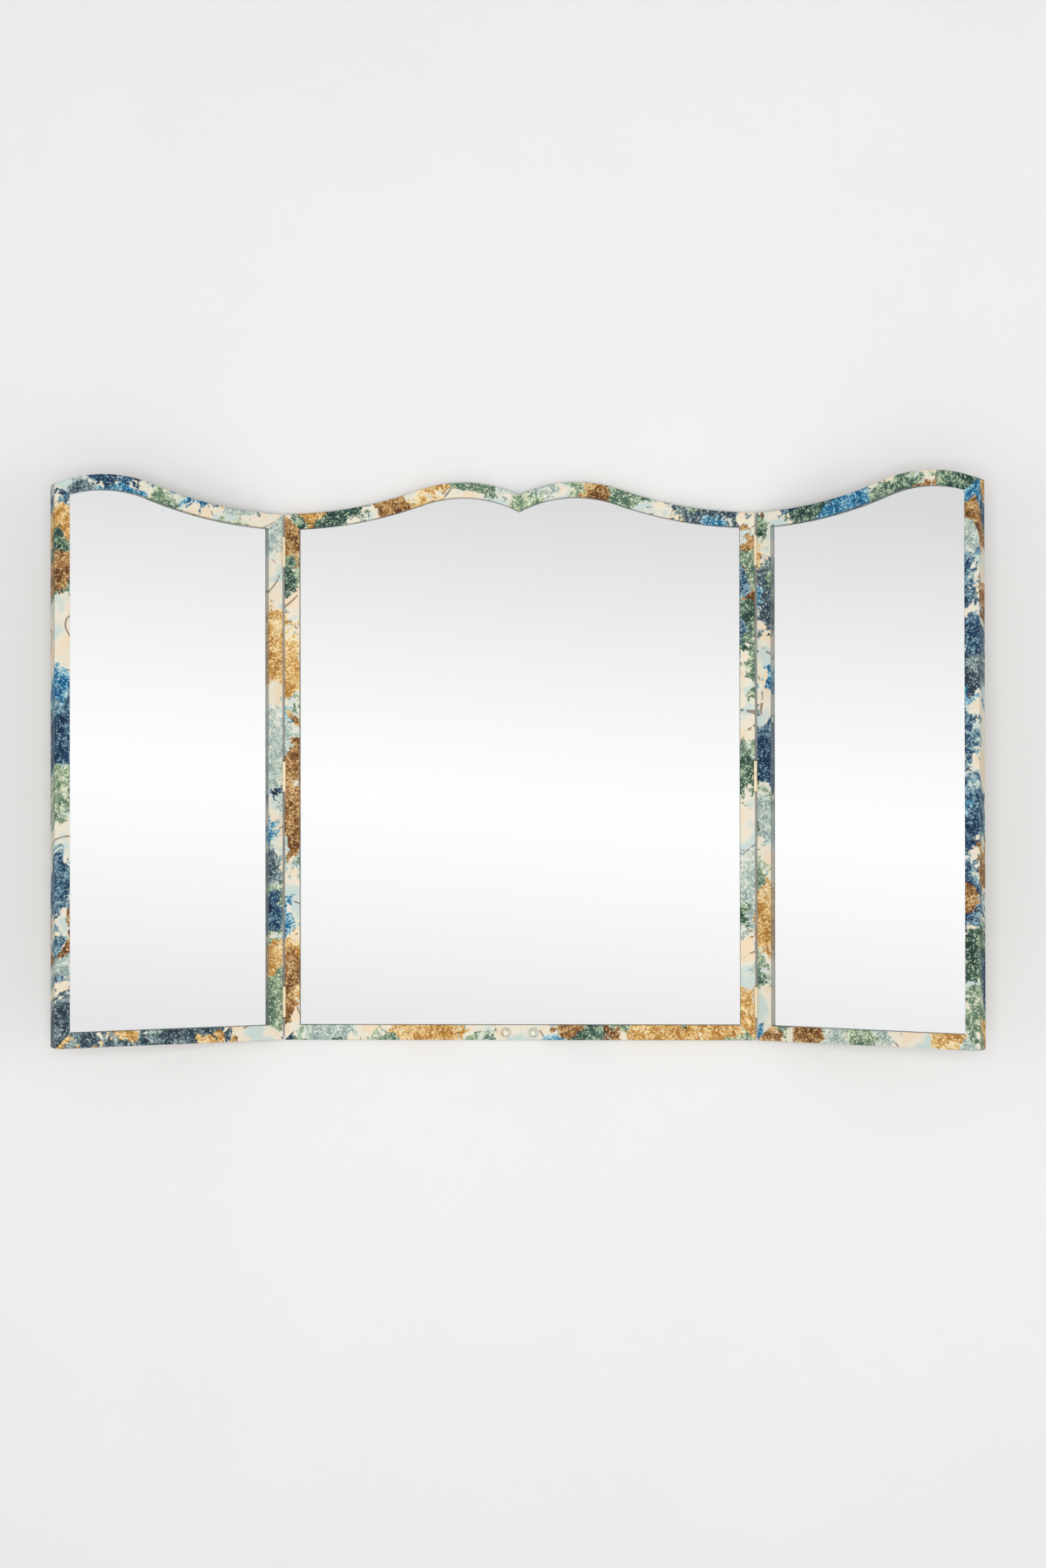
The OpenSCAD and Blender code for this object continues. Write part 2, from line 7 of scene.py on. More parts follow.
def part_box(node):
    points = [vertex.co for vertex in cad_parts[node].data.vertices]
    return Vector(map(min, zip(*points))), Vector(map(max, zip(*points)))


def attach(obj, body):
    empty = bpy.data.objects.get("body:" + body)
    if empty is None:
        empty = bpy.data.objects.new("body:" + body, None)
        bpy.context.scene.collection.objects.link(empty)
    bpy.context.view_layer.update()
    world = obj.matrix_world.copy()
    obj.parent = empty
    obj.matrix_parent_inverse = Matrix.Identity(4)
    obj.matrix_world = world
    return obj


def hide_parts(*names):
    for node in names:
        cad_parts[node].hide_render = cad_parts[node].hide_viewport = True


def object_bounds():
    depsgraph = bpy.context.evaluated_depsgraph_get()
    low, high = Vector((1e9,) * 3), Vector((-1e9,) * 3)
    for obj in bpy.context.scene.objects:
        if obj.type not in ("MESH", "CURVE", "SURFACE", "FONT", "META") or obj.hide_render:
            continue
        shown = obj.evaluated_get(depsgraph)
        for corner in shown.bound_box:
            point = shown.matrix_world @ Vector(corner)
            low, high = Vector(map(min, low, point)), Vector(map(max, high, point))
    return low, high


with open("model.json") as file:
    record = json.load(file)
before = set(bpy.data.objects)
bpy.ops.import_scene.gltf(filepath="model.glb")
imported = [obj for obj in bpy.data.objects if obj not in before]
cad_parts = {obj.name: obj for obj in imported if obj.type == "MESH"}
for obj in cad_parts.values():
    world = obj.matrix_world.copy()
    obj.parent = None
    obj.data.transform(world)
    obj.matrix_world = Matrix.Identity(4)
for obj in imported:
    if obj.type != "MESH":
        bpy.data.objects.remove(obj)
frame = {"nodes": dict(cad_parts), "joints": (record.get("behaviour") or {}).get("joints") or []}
cadLow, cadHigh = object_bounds()
nodes = frame["nodes"]
joints = {joint["name"]: joint for joint in frame["joints"]}
bpy.ops.object.select_all(action="DESELECT")
print("frame: loaded", len(nodes), "nodes")


# Helpers for node trees: a value may be a number, a colour or another node's output
def newNode(tree, kind, **settings):
    node = tree.nodes.new(kind)
    for name, value in settings.items():
        setattr(node, name, value)
    return node


def feed(tree, socket, value):
    if isinstance(value, bpy.types.NodeSocket):
        tree.links.new(value, socket)
    else:
        socket.default_value = value


def calc(tree, operation, *values):
    node = newNode(tree, "ShaderNodeMath", operation=operation)
    for socket, value in zip(node.inputs, values):
        feed(tree, socket, value)
    return node.outputs[0]


def calcVector(tree, operation, *values):
    node = newNode(tree, "ShaderNodeVectorMath", operation=operation)
    for socket, value in zip(node.inputs, values):
        feed(tree, socket, value)
    return node.outputs["Value" if operation == "DOT_PRODUCT" else "Vector"]


def scaled(tree, vector, factor):
    node = newNode(tree, "ShaderNodeVectorMath", operation="SCALE")
    feed(tree, node.inputs[0], vector)
    feed(tree, node.inputs["Scale"], factor)
    return node.outputs[0]


def mixColours(tree, share, first, second, blend="MIX"):
    node = newNode(tree, "ShaderNodeMix", data_type="RGBA", blend_type=blend)
    for socket, value in zip((node.inputs[0], node.inputs[6], node.inputs[7]), (share, first, second)):
        feed(tree, socket, value)
    return node.outputs[2]


def mixNumbers(tree, share, first, second):
    node = newNode(tree, "ShaderNodeMix", data_type="FLOAT")
    for socket, value in zip((node.inputs[0], node.inputs[2], node.inputs[3]), (share, first, second)):
        feed(tree, socket, value)
    return node.outputs[0]


def between(tree, value, low, high, outLow=0.0, outHigh=1.0, smooth=True):
    node = newNode(tree, "ShaderNodeMapRange", interpolation_type="SMOOTHSTEP" if smooth else "LINEAR")
    for socket, number in zip(node.inputs, (value, low, high, outLow, outHigh)):
        feed(tree, socket, number)
    return node.outputs[0]


def ramp(tree, value, stops, steps=False):
    node = newNode(tree, "ShaderNodeValToRGB")
    node.color_ramp.interpolation = "CONSTANT" if steps else "LINEAR"
    elements = node.color_ramp.elements
    while len(elements) > 1:
        elements.remove(elements[-1])
    for number, (position, colour) in enumerate(stops):
        stop = elements[0] if number == 0 else elements.new(position)
        stop.position = position
        stop.color = opaque(colour)
    feed(tree, node.inputs[0], value)
    return node.outputs[0]


def noise(tree, vector, scale, detail=2.0, roughness=0.5, flat=False):
    node = newNode(tree, "ShaderNodeTexNoise", noise_dimensions="2D" if flat else "3D")
    feed(tree, node.inputs["Vector"], vector)
    for name, value in (("Scale", scale), ("Detail", detail), ("Roughness", roughness)):
        node.inputs[name].default_value = value
    return node.outputs


def splitVector(tree, vector):
    node = newNode(tree, "ShaderNodeSeparateXYZ")
    feed(tree, node.inputs[0], vector)
    return node.outputs


def joinVector(tree, x, y, z):
    node = newNode(tree, "ShaderNodeCombineXYZ")
    for socket, value in zip(node.inputs, (x, y, z)):
        feed(tree, socket, value)
    return node.outputs[0]


def centred(tree, vector):
    # A noise's three channels, made to run as far below nought as above it
    return calcVector(tree, "SUBTRACT", vector, (0.5, 0.5, 0.5))


def coordinates(tree, kind):
    return newNode(tree, "ShaderNodeTexCoord").outputs[kind]


def bumped(tree, shader, height, distance, strength):
    node = newNode(tree, "ShaderNodeBump")
    node.inputs["Distance"].default_value = distance
    node.inputs["Strength"].default_value = strength
    feed(tree, node.inputs["Height"], height)
    feed(tree, shader.inputs["Normal"], node.outputs[0])


def newMaterial(name):
    material = bpy.data.materials.new(name)
    material.use_nodes = True
    tree = material.node_tree
    return material, tree, tree.nodes["Principled BSDF"]


def newGroup(name, inputs, outputs):
    group = bpy.data.node_groups.new(name, "ShaderNodeTree")
    for direction, sockets in (("INPUT", inputs), ("OUTPUT", outputs)):
        for label, kind in sockets.items():
            group.interface.new_socket(label, in_out=direction, socket_type="NodeSocket" + kind)
    return group, newNode(group, "NodeGroupInput").outputs, newNode(group, "NodeGroupOutput").inputs


def useGroup(tree, group, **values):
    node = newNode(tree, "ShaderNodeGroup", node_tree=group)
    for label, value in values.items():
        feed(tree, node.inputs[label], value)
    return node.outputs


def grey(level):
    return (level, level, level)


def ink(red, green, blue):
    # A printed colour, given as a screen shows it from 0 to 255, and made linear
    return tuple((level / 255 / 1.055 + 0.055 / 1.055) ** 2.4 for level in (red, green, blue))


def opaque(colour):
    return (*colour, 1.0)


# The camera stands where the photograph was taken
cameraSet = {
    "place": (0.0987, -3.4331, -0.0329),
    "pitch": 0.391,  # degrees above the horizon
    "yaw": 1.579,  # degrees towards -X
    "roll": 0.07,
    "lens": 61.59,
    "sensor": 36.0,
    "farthest": 60.0,
}


def addCamera():
    turn = (90 + cameraSet["pitch"], cameraSet["roll"], cameraSet["yaw"])
    turn = [math.radians(angle) for angle in turn]
    bpy.ops.object.camera_add(location=cameraSet["place"], rotation=turn)
    camera = bpy.context.object
    camera.name = "camera"
    camera.data.lens = cameraSet["lens"]
    camera.data.sensor_width = cameraSet["sensor"]
    camera.data.clip_end = cameraSet["farthest"]
    bpy.context.scene.camera = camera


# The studio: soft light from all round, a lamp in front, one on each side, and what the mirrors show
studio = {
    "ambient": 0.380,  # light from all round on diffuse surfaces
    "backdrop": (0.87, 0.87, 0.86),
    "wallColour": (0.862, 0.860, 0.853),
    "floorColour": (0.80, 0.79, 0.77),
    "wallWidth": 9.0,
    "wallTop": 3.0,
    "wallGap": 0.001,  # between the mirror's back and the wall
    "floorDrop": 1.35,  # from the mirror's middle down to the floor
    "floorDepth": 9.0,
}
lamps = {
    "front": {"place": (0.05, -5.0, -0.12), "size": 1.6, "power": 114.0, "colour": (1.0, 0.999, 1.0)},
    "left": {"place": (-3.2, -3.6, 0.0), "size": 2.0, "power": 20.0, "colour": (0.996, 0.999, 1.0)},
    "right": {"place": (3.2, -3.6, 0.0), "size": 2.0, "power": 28.0, "colour": (0.996, 0.999, 1.0)},
}
# The mirrored studio is brightest along a horizon that dips towards the right in each panel
horizon = {
    "level": -0.0009,
    "lean": 0.013,  # how much it rises in each radian towards +X
    "wave": -0.0135,  # the height of a wave in it
    "waves": 7.35,
    "phase": 0.243,
    "reach": 0.5,  # how far above and below the horizon the tones run
    "gain": 1.05,
    "sides": (0.95, 1.8, 0.25),  # past this angle and up to that one the studio darkens to this share
    "tones": {
        -0.5: 0.55, -0.25: 0.64, -0.12: 0.74, -0.09: 0.80, -0.06: 0.878, -0.03: 0.945, 0.0: 1.0,
        0.03: 0.941, 0.06: 0.870, 0.09: 0.788, 0.12: 0.70, 0.25: 0.60, 0.5: 0.52,
    },
}


def mirroredStudio(tree):
    x, y, z = splitVector(tree, coordinates(tree, "Generated"))
    around = calc(tree, "ARCTAN2", x, calc(tree, "MULTIPLY", y, -1.0))
    ripple = calc(tree, "SINE", calc(tree, "MULTIPLY_ADD", around, horizon["waves"], horizon["phase"]))
    level = calc(tree, "MULTIPLY_ADD", around, horizon["lean"], horizon["level"])
    level = calc(tree, "MULTIPLY_ADD", ripple, horizon["wave"], level)
    above = calc(tree, "SUBTRACT", z, level)
    reach = horizon["reach"]
    share = between(tree, above, -reach, reach, smooth=False)
    stops = [((height + reach) / (2 * reach), grey(tone)) for height, tone in horizon["tones"].items()]
    start, end, darkest = horizon["sides"]
    full = horizon["gain"]
    dim = between(tree, calc(tree, "ABSOLUTE", around), start, end, full, full * darkest)
    return scaled(tree, ramp(tree, share, stops), dim)


def addWorld():
    world = bpy.data.worlds.new("studioWorld")
    bpy.context.scene.world = world
    world.use_nodes = True
    tree = world.node_tree
    tree.nodes.clear()
    path = newNode(tree, "ShaderNodeLightPath").outputs
    shiny = calc(tree, "MAXIMUM", path["Is Glossy Ray"], path["Is Transmission Ray"])
    lit = mixColours(tree, shiny, opaque(grey(studio["ambient"])), mirroredStudio(tree))
    seen = mixColours(tree, path["Is Camera Ray"], lit, opaque(studio["backdrop"]))
    background = newNode(tree, "ShaderNodeBackground")
    feed(tree, background.inputs["Color"], seen)
    feed(tree, newNode(tree, "ShaderNodeOutputWorld").inputs[0], background.outputs[0])


def addLamps():
    for name, lamp in lamps.items():
        bpy.ops.object.light_add(type="AREA", location=lamp["place"])
        light = bpy.context.object
        light.name = name + "Lamp"
        light.rotation_euler = (-Vector(lamp["place"])).to_track_quat("-Z", "Y").to_euler()
        light.data.size = lamp["size"]
        light.data.energy = lamp["power"]
        light.data.color = lamp["colour"]
        light.visible_glossy = False  # the world is what the mirrors show


# The wall's and the floor's paint, a little uneven
paint = {
    "mottle": 3.0,
    "darker": 0.985,  # how much of its light the paint keeps in the darker patches
    "roughness": 0.9,
    "specular": 0.1,
    "grain": 260.0,
    "depth": 0.0004,
    "strength": 0.15,
}


def studioPaint(name, colour, clearBehind=False):
    material, tree, shader = newMaterial(name)
    place = coordinates(tree, "Object")
    mottle = between(tree, noise(tree, place, paint["mottle"], 4.0)["Fac"], 0.3, 0.7)
    darker = [level * paint["darker"] for level in colour]
    feed(tree, shader.inputs["Base Color"], mixColours(tree, mottle, opaque(darker), opaque(colour)))
    shader.inputs["Roughness"].default_value = paint["roughness"]
    shader.inputs["Specular IOR Level"].default_value = paint["specular"]
    grain = noise(tree, place, paint["grain"], 3.0)["Fac"]
    bumped(tree, shader, grain, paint["depth"], paint["strength"])
    if clearBehind:  # so that the mirror's back is seen in views from behind the wall
        blend = newNode(tree, "ShaderNodeMixShader")
        feed(tree, blend.inputs[0], newNode(tree, "ShaderNodeNewGeometry").outputs["Backfacing"])
        feed(tree, blend.inputs[1], shader.outputs[0])
        feed(tree, blend.inputs[2], newNode(tree, "ShaderNodeBsdfTransparent").outputs[0])
        feed(tree, tree.nodes["Material Output"].inputs[0], blend.outputs[0])
    return material


def addStage():
    bpy.ops.mesh.primitive_plane_add(size=1.0)
    wall = bpy.context.object
    wall.name = "wall"
    top, drop = studio["wallTop"], studio["floorDrop"]
    middle = Matrix.Translation((0.0, cadHigh.y + studio["wallGap"], (top - drop) / 2))
    upright = Matrix.Rotation(math.radians(90), 4, "X")
    wall.data.transform(middle @ upright @ Matrix.Diagonal((studio["wallWidth"], top + drop, 1.0, 1.0)))
    wall.data.materials.append(studioPaint("wallPaint", studio["wallColour"], clearBehind=True))
    wall.visible_shadow = False
    wall.visible_diffuse = False
    bpy.ops.mesh.primitive_plane_add(size=1.0)
    floor = bpy.context.object
    floor.name = "floor"
    depth = studio["floorDepth"]
    floor.data.transform(Matrix.Translation((0, 0, -drop)) @ Matrix.Diagonal((depth, depth, 1, 1)))
    floor.data.materials.append(studioPaint("floorPaint", studio["floorColour"]))


# The printed covering: a generic design of masses, small leaves and dabs, drawn in millimetres
inks = {  # dark, middle and pale ink of each mass, and the share of the masses that it ends at
    "mist": ((142, 164, 160), (198, 212, 200), (236, 236, 222), 0.10),
    "sage": ((78, 108, 90), (150, 174, 140), (226, 230, 202), 0.25),
    "deepGreen": ((32, 58, 54), (82, 114, 98), (186, 204, 170), 0.41),
    "slate": ((38, 52, 66), (80, 102, 112), (176, 194, 190), 0.50),
    "navy": ((20, 38, 66), (46, 84, 116), (150, 184, 192), 0.61),
    "blue": ((16, 80, 122), (58, 140, 176), (186, 220, 224), 0.73),
    "ochre": ((170, 116, 50), (224, 180, 104), (250, 230, 184), 0.89),
    "umber": ((92, 58, 34), (166, 118, 66), (226, 192, 136), 1.01),
}
# The bare ground with its washes, and thin twigs along the middle level of a slow noise
ground = {
    "bare": (238, 230, 210),
    "cool": (206, 220, 214),
    "warm": (243, 222, 192),
    "twig": (116, 82, 62),
    "washes": 34.0,
    "coolRange": (0.50, 0.36),  # the washes' noise where the cool one starts and is full
    "warmRange": (0.52, 0.68),
    "twigRun": 70.0,  # size of the twigs' bends
    "twigEdge": (0.013, 0.009),  # how far from that level a twig starts and is full
    "twigRange": (0.47, 0.53),  # the clouds' noise where twigs start to show and are full
    "twigShare": 0.75,
}
massShape = {
    "layers": ((96.0, (3.1, 7.7, 0.0), 0.93), (52.0, (11.3, 2.9, 0.0), 0.5)),  # size, shift, share that grows
    "drift": (38.0, 30.0),  # size and reach of the slow bends in the masses
    "lobes": 9.0,
    "radius": (0.14, 0.6, 0.2),  # in shares of the size: the least, and what lobes and chance add at most
    "edge": 0.05,
    "inside": 0.24,  # how far in from its edge a mass counts as deep
    "light": (-0.5, 0.8, 0.0),  # the side of a mass that is paler
    "tone": (-1.18, 2.2, 1.5, 0.7, -0.4),  # the base, then shares of the clouds, brush, light and depth
}
leafShape = {
    "sprays": ((15.0, (3.7, 5.2, 0.0)), (9.0, (12.7, 1.2, 0.0)), (5.2, (21.7, -2.8, 0.0))),  # size and shift
    "slim": 0.3,
    "taper": 2.6,  # how fast a leaf narrows towards its ends
    "edge": 0.06,
    "vein": (0.035, 0.35),  # width, and how much paler
    "fold": (0.06, 0.2),  # width, and how much paler and darker the halves beside it are
    "rim": (0.08, 0.25),
    "along": 0.3,  # how much paler towards one end
    "missing": 0.25,  # share of the cells that bear no leaf
    "share": 0.9,  # how far a leaf covers what is under it
    "tone": (0.3, 0.7, 0.6),  # taken off, then shares of chance and of the mass's own tone
}
dabShape = {
    # Size, shift, the pick above which a dab is pale, and the one below which it is dark
    "sprays": ((3.4, (0.4, 8.3, 0.0), 0.90, 0.16), (2.0, (6.4, 8.3, 0.0), 0.84, 0.22)),
    "slim": 0.36,
    "pale": 0.85,
    "dark": 0.7,
}
onMass = (0.1, 0.3)  # a mass's body where leaves and dabs start and are full
cloth = {
    "ragged": (4.2, 6.0, 1.0),  # size of the ragged edges, and how far they push the masses and the leaves
    "scatter": 0.9,  # how far masses and leaves stray from even rows
    "clouds": 15.0,
    "stroke": (3.0, 2.0, 0.6),  # length, width and roughness of the brush marks
    "grain": 1.4,
    "grainTone": 0.92,  # how much of its light the cloth keeps where the grain is darkest
    "weave": 0.42,
    "heights": (0.8, 0.4),  # shares of the grain and of the weave
    "depth": 0.00012,
    "strength": 0.5,
    "roughness": (0.62, 0.5),
    "specular": 0.3,
}


def voronoi(tree, vector):
    node = newNode(tree, "ShaderNodeTexVoronoi", voronoi_dimensions="2D")
    feed(tree, node.inputs["Vector"], vector)
    node.inputs["Scale"].default_value = 1.0
    node.inputs["Randomness"].default_value = cloth["scatter"]
    return node.outputs


def threeInks(tree, tone, source):
    colour = mixColours(tree, between(tree, tone, 0.0, 0.5), source["Dark"], source["Middle"])
    return mixColours(tree, between(tree, tone, 0.5, 1.0), colour, source["Pale"])


def leafGroup():
    # Almond leaves, each turned and bent its own way about the middle of its cell
    group, given, result = newGroup(
        "leaves",
        {"Place": "Vector", "Size": "Float", "Shift": "Vector", "Slim": "Float"},
        {"Mask": "Float", "Shade": "Float", "Pick": "Float", "Spot": "Vector"},
    )
    place = scaled(group, given["Place"], calc(group, "DIVIDE", 1.0, given["Size"]))
    place = calcVector(group, "ADD", place, given["Shift"])
    cells = voronoi(group, place)
    turnShare, bendShare, pick = splitVector(group, cells["Color"])
    turned = newNode(group, "ShaderNodeVectorRotate", rotation_type="Z_AXIS")
    feed(group, turned.inputs["Vector"], calcVector(group, "SUBTRACT", place, cells["Position"]))
    feed(group, turned.inputs["Angle"], calc(group, "MULTIPLY", turnShare, 2 * math.pi))
    along, across, _ = splitVector(group, turned.outputs[0])
    square = calc(group, "MULTIPLY", along, along)
    bend = calc(group, "MULTIPLY", calc(group, "SUBTRACT", bendShare, 0.5), square)
    across = calc(group, "ADD", across, bend)
    half = calc(group, "MULTIPLY_ADD", square, -leafShape["taper"], 1.0)
    half = calc(group, "MULTIPLY", half, given["Slim"])
    edge = calc(group, "SUBTRACT", half, calc(group, "ABSOLUTE", across))
    feed(group, result["Mask"], between(group, edge, 0.0, leafShape["edge"]))
    width, lift = leafShape["vein"]
    vein = between(group, calc(group, "ABSOLUTE", across), 0.0, width, lift, 0.0)
    width, lift = leafShape["fold"]
    side = between(group, across, -width, width, -lift, lift)
    width, lift = leafShape["rim"]
    rim = between(group, edge, width, 0.0, 0.0, lift)
    shade = calc(group, "ADD", calc(group, "ADD", side, vein), rim)
    feed(group, result["Shade"], calc(group, "MULTIPLY_ADD", along, leafShape["along"], shade))
    feed(group, result["Pick"], pick)
    middle = calcVector(group, "SUBTRACT", cells["Position"], given["Shift"])
    feed(group, result["Spot"], scaled(group, middle, given["Size"]))
    return group


def massGroup():
    # Which mass covers a spot, how far inside it lies, and the mass's inks and lift of tone there
    numbers = {name: "Float" for name in ("Body", "Depth", "Lift")}
    colours = {name: "Color" for name in ("Dark", "Middle", "Pale")}
    group, given, result = newGroup("masses", {"Spot": "Vector"}, {**numbers, **colours})
    size, reach = massShape["drift"]
    drift = centred(group, noise(group, given["Spot"], 1 / size, 1.0, flat=True)["Color"])
    spot = calcVector(group, "ADD", given["Spot"], scaled(group, drift, reach))
    lobes = noise(group, spot, 1 / massShape["lobes"], 2.0, flat=True)["Fac"]
    least, lobed, chance = massShape["radius"]
    body, depth, family, lift = 0.0, 0.0, 0.0, 0.0
    for size, shift, share in massShape["layers"]:
        place = calcVector(group, "ADD", scaled(group, spot, 1 / size), shift)
        cells = voronoi(group, place)
        pick, grows, spread = splitVector(group, cells["Color"])
        away = calcVector(group, "SUBTRACT", place, cells["Position"])
        edge = calc(group, "MULTIPLY_ADD", lobes, lobed, least)
        edge = calc(group, "MULTIPLY_ADD", spread, chance, edge)
        edge = calc(group, "SUBTRACT", edge, cells["Distance"])
        cover = between(group, edge, 0.0, massShape["edge"])
        cover = calc(group, "MULTIPLY", cover, calc(group, "LESS_THAN", grows, share))
        body = calc(group, "MAXIMUM", body, cover)
        depth = mixNumbers(group, cover, depth, between(group, edge, 0.0, massShape["inside"]))
        family = mixNumbers(group, calc(group, "GREATER_THAN", cover, 0.5), family, pick)
        lean = calcVector(group, "DOT_PRODUCT", away, massShape["light"])
        lift = mixNumbers(group, cover, lift, lean)
    feed(group, result["Body"], body)
    feed(group, result["Depth"], depth)
    feed(group, result["Lift"], lift)
    starts = [0.0] + [mass[3] for mass in inks.values()][:-1]
    for which, label in enumerate(("Dark", "Middle", "Pale")):
        stops = [(start, ink(*mass[which])) for start, mass in zip(starts, inks.values())]
        feed(group, result[label], ramp(group, family, stops, steps=True))
    return group


def drawGround(group, place, slight, cloud):
    bare, cool, warm, twig = [opaque(ink(*ground[name])) for name in ("bare", "cool", "warm", "twig")]
    warmth = noise(group, place, 1 / ground["washes"], 2.5, flat=True)["Fac"]
    colour = mixColours(group, between(group, warmth, *ground["coolRange"]), bare, cool)
    colour = mixColours(group, between(group, warmth, *ground["warmRange"]), colour, warm)
    vines = noise(group, slight, 1 / ground["twigRun"], 0.0, flat=True)["Fac"]
    away = calc(group, "ABSOLUTE", calc(group, "SUBTRACT", vines, 0.5))
    show = between(group, away, *ground["twigEdge"])
    show = calc(group, "MULTIPLY", show, between(group, cloud, *ground["twigRange"]))
    return mixColours(group, calc(group, "MULTIPLY", show, ground["twigShare"]), colour, twig)


def massTone(group, mass, cloud, brush):
    # From 0 in the dark ink to 1 in the pale one, mottled as by a brush
    base, clouded, brushed, lit, deep = massShape["tone"]
    tone = calc(group, "MULTIPLY_ADD", brush, brushed, base)
    tone = calc(group, "MULTIPLY_ADD", cloud, clouded, tone)
    tone = calc(group, "MULTIPLY_ADD", mass["Depth"], deep, tone)
    return calc(group, "MULTIPLY_ADD", mass["Lift"], lit, tone)


def drawLeaves(group, colour, slight, tone, leaves, masses):
    # Three sizes of leaves, each leaf in the inks of the mass at its middle
    less, chance, own = leafShape["tone"]
    for size, shift in leafShape["sprays"]:
        spray = useGroup(group, leaves, Place=slight, Size=size, Shift=shift, Slim=leafShape["slim"])
        under = useGroup(group, masses, Spot=spray["Spot"])
        show = calc(group, "MULTIPLY", spray["Mask"], between(group, under["Body"], *onMass))
        grows = calc(group, "GREATER_THAN", spray["Pick"], leafShape["missing"])
        show = calc(group, "MULTIPLY", show, grows)
        leafTone = calc(group, "MULTIPLY_ADD", spray["Pick"], chance, calc(group, "MULTIPLY", tone, own))
        leafTone = calc(group, "SUBTRACT", calc(group, "ADD", spray["Shade"], leafTone), less)
        show = calc(group, "MULTIPLY", show, leafShape["share"])
        colour = mixColours(group, show, colour, threeInks(group, leafTone, under))
    return colour


def drawDabs(group, colour, slight, leaves, masses):
    # Small pale and dark dabs in two sizes
    for size, shift, palest, darkest in dabShape["sprays"]:
        dabs = useGroup(group, leaves, Place=slight, Size=size, Shift=shift, Slim=dabShape["slim"])
        under = useGroup(group, masses, Spot=dabs["Spot"])
        show = calc(group, "MULTIPLY", dabs["Mask"], between(group, under["Body"], *onMass))
        pale = calc(group, "MULTIPLY", show, calc(group, "GREATER_THAN", dabs["Pick"], palest))
        colour = mixColours(group, calc(group, "MULTIPLY", pale, dabShape["pale"]), colour, under["Pale"])
        dark = calc(group, "MULTIPLY", show, calc(group, "LESS_THAN", dabs["Pick"], darkest))
        colour = mixColours(group, calc(group, "MULTIPLY", dark, dabShape["dark"]), colour, under["Dark"])
    return colour


def printGroup():
    group, given, result = newGroup("leafPrint", {"Place": "Vector"}, {"Colour": "Color", "Height": "Float"})
    leaves, masses = leafGroup(), massGroup()
    place = given["Place"]
    # Ragged edges: masses and leaves are drawn on a place that a fine noise pushes about
    size, massPush, leafPush = cloth["ragged"]
    push = centred(group, noise(group, place, 1 / size, 2.0, flat=True)["Color"])
    rough = calcVector(group, "ADD", place, scaled(group, push, massPush))
    slight = calcVector(group, "ADD", place, scaled(group, push, leafPush))
    length, width, roughness = cloth["stroke"]
    stroke = calcVector(group, "MULTIPLY", slight, (1 / length, 1 / width, 1.0))
    brush = noise(group, stroke, 1.0, 3.0, roughness, flat=True)["Fac"]
    cloud = noise(group, slight, 1 / cloth["clouds"], 2.5, flat=True)["Fac"]
    colour = drawGround(group, place, slight, cloud)
    mass = useGroup(group, masses, Spot=rough)
    tone = massTone(group, mass, cloud, brush)
    colour = mixColours(group, mass["Body"], colour, threeInks(group, tone, mass))
    colour = drawLeaves(group, colour, slight, tone, leaves, masses)
    colour = drawDabs(group, colour, slight, leaves, masses)
    # The cloth takes the ink a little unevenly, and its threads stand up finely
    grain = noise(group, place, cloth["grain"], 3.0, flat=True)["Fac"]
    worn = ramp(group, grain, [(0.3, grey(cloth["grainTone"])), (0.7, grey(1.0))])
    colour = mixColours(group, 1.0, colour, worn, "MULTIPLY")
    x, y, _ = splitVector(group, scaled(group, place, 2 * math.pi / cloth["weave"]))
    threads = calc(group, "MULTIPLY", calc(group, "SINE", x), calc(group, "SINE", y))
    grainShare, threadShare = cloth["heights"]
    threads = calc(group, "MULTIPLY", threads, threadShare)
    feed(group, result["Height"], calc(group, "MULTIPLY_ADD", grain, grainShare, threads))
    feed(group, result["Colour"], colour)
    return group


def panelTurn(panel):
    joint = joints[panel + "_hinge"]
    return math.radians(-joint["range_deg"][0] * joint["axis"][2])


def panelDepth(panel, y):
    # A depth in the frame, counted as panelPlace counts it
    return y if panel == "centre" else y - joints[panel + "_hinge"]["pos_m"][1]


def panelPlace(tree, panel):
    # Object coordinates in a panel's own frame, in metres, so that a pattern turns with its wing
    place = coordinates(tree, "Object")
    if panel == "centre":
        return place
    node = newNode(tree, "ShaderNodeMapping", vector_type="TEXTURE")
    node.inputs["Location"].default_value = joints[panel + "_hinge"]["pos_m"]
    node.inputs["Rotation"].default_value = (0.0, 0.0, panelTurn(panel))
    feed(tree, node.inputs["Vector"], place)
    return node.outputs[0]


# Each member is cut from its own stretch of the print: its turn in degrees and its shift in millimetres
stretches = {
    "centre": {"top": (0, 0, 0), "bottom": (4, 744, 685), "left": (90, 1428, 1280), "right": (82, 556, 1207)},
    "left_wing": {
        "top": (12, 900, 300), "bottom": (-6, 1239, 1342), "hinge": (88, 1194, 1550), "end": (95, 1511, 844),
    },
    "right_wing": {
        "top": (-9, 260, 1130), "bottom": (7, 1372, 1313), "hinge": (92, 456, 308), "end": (86, 1414, 1325),
    },
}
millimetres = 1000.0  # in a metre
